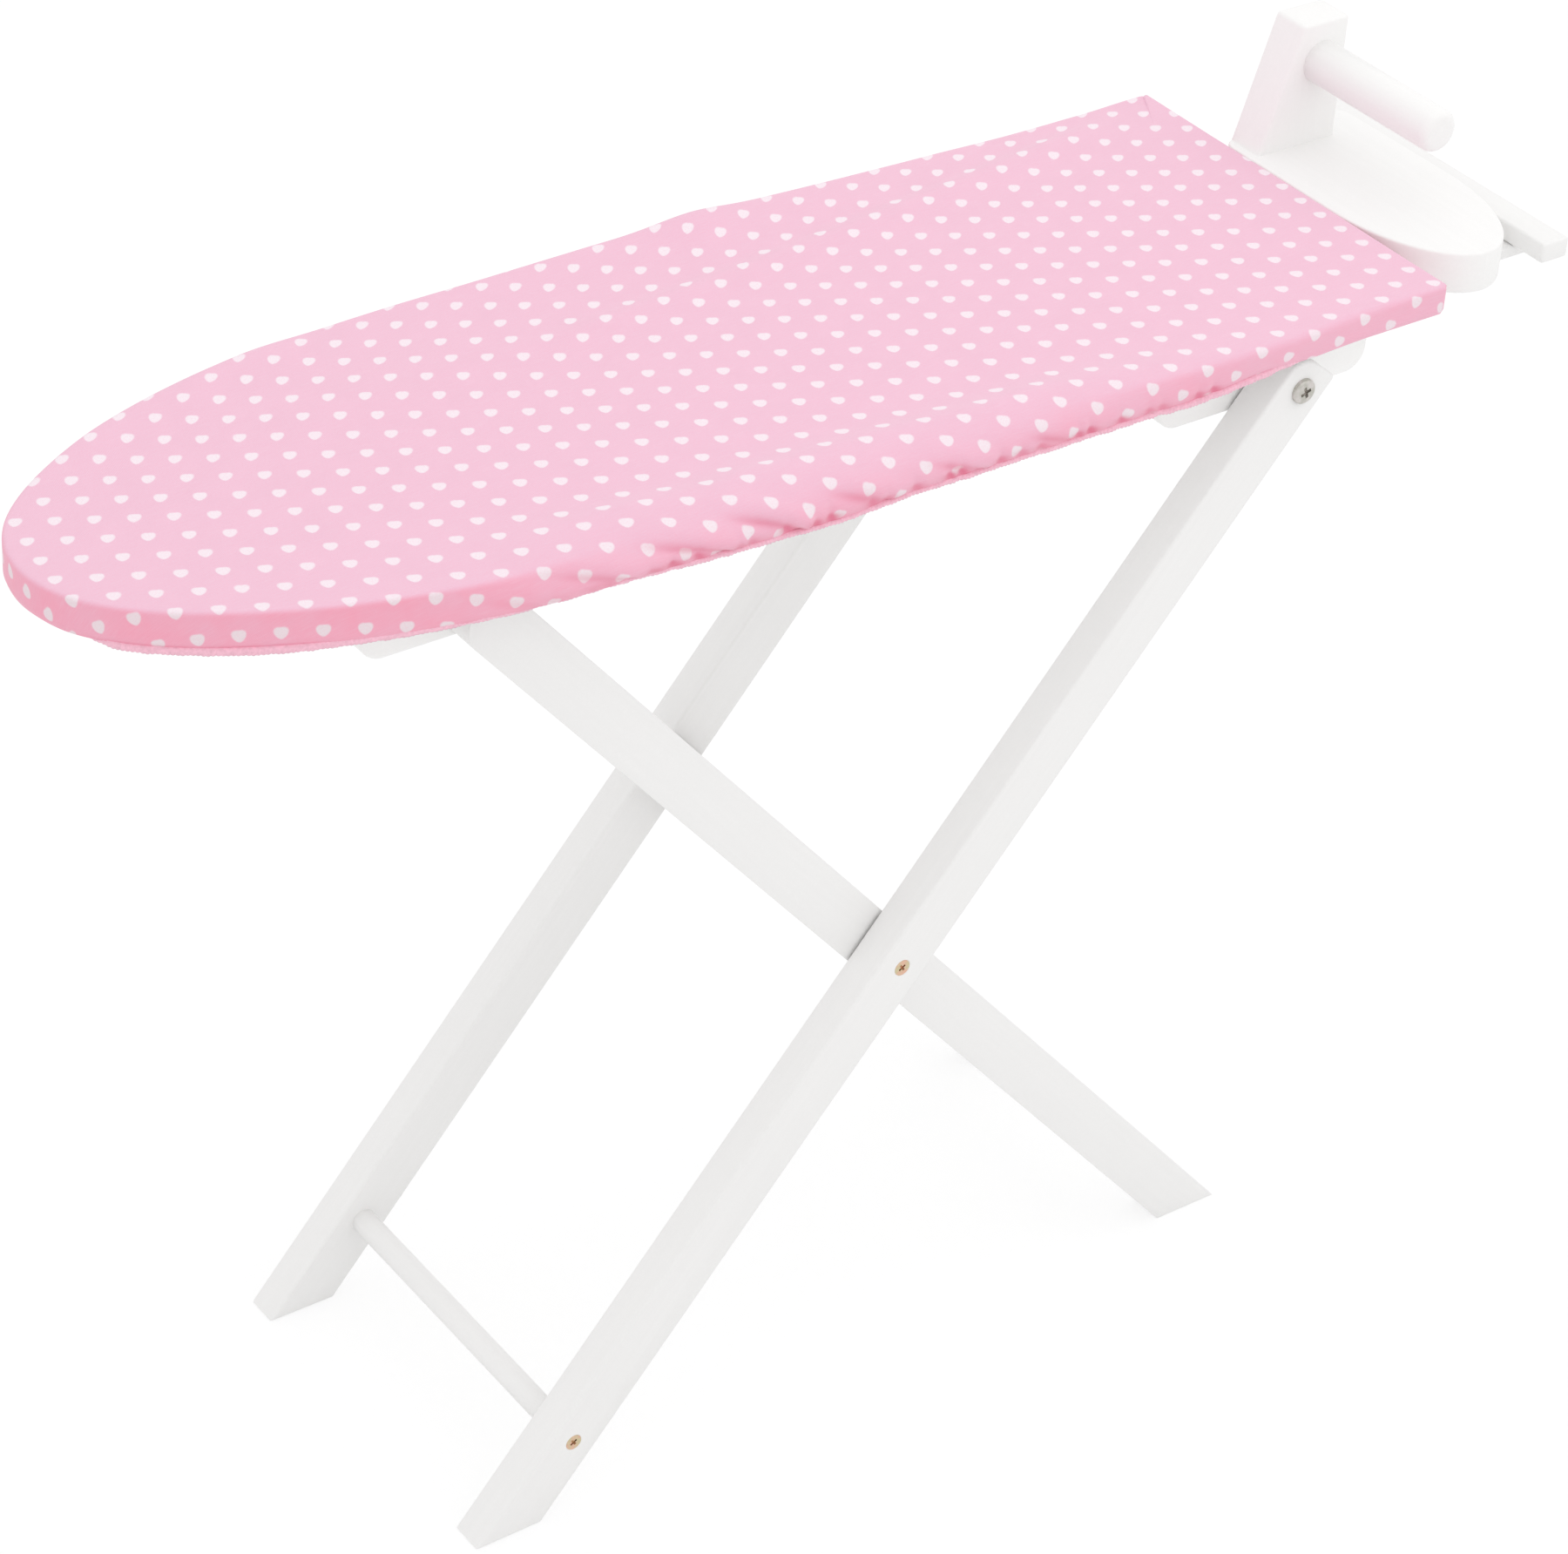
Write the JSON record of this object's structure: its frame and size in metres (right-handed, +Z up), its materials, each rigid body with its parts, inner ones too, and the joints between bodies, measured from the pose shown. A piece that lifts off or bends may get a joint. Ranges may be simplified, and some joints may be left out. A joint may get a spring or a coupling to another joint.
{
  "type": "toy ironing board with iron",
  "caption": "Folding wooden toy ironing board with crossed legs, a fitted cloth cover, and a wooden toy iron that lifts off a rest at the board's square end.",
  "frame": {"origin": "on the floor under the middle of the bounding box, with the legs open", "axes": "+X along the board from its round nose to the iron rest, +Y across the board away from the viewer of the picture, +Z up"},
  "size_m": [0.7394, 0.2226, 0.579],
  "materials": {
    "painted_wood": "white satin paint",
    "cover_cloth": "pink woven cotton with a white heart print",
    "hem_cloth": "serged elastic hem",
    "zinc_steel": "zinc plated",
    "brass_screw": "yellow passivated"
  },
  "bodies": {
    "board": {"board": "painted_wood", "cover": "cover_cloth", "cover_hem": "hem_cloth", "pivot_cleat_near": "painted_wood", "pivot_cleat_far": "painted_wood", "nose_cleat_near": "painted_wood", "nose_cleat_far": "painted_wood", "cleat_screws": "zinc_steel", "rest_arm_near": "painted_wood", "rest_arm_far": "painted_wood", "rest_slat": "painted_wood", "rest_screws": "zinc_steel", "pivot_bolts": "zinc_steel", "pivot_nuts": "zinc_steel", "pivot_washers": "zinc_steel"},
    "outer_frame": {"outer_leg_near": "painted_wood", "outer_leg_far": "painted_wood", "outer_rung": "painted_wood", "rung_screws": "brass_screw"},
    "inner_frame": {"inner_leg_near": "painted_wood", "inner_leg_far": "painted_wood", "inner_rung": "painted_wood", "crossbar": "painted_wood", "mid_screws": "brass_screw", "mid_washers": "zinc_steel"},
    "iron": {"iron_sole": "painted_wood", "iron_upright": "painted_wood", "iron_handle": "painted_wood", "iron_screws": "zinc_steel"}
  },
  "joints": [
    {"name": "leg_fold", "type": "hinge", "parent": "board", "child": "outer_frame", "pos_m": [0.20145, 0, 0.4833], "axis": [0, 1, 0], "range_deg": [0, 44]},
    {"name": "leg_scissor", "type": "hinge", "parent": "outer_frame", "child": "inner_frame", "pos_m": [0.00488, 0, 0.244], "axis": [0, 1, 0], "range_deg": [-93, 0]},
    {"name": "iron_lift", "type": "slide", "parent": "board", "child": "iron", "axis": [0, 0, 1], "range_m": [0, 0.15]}
  ],
  "couplings": [
    {"joint": "leg_scissor", "follows": "leg_fold", "ratio": -2.102}
  ]
}
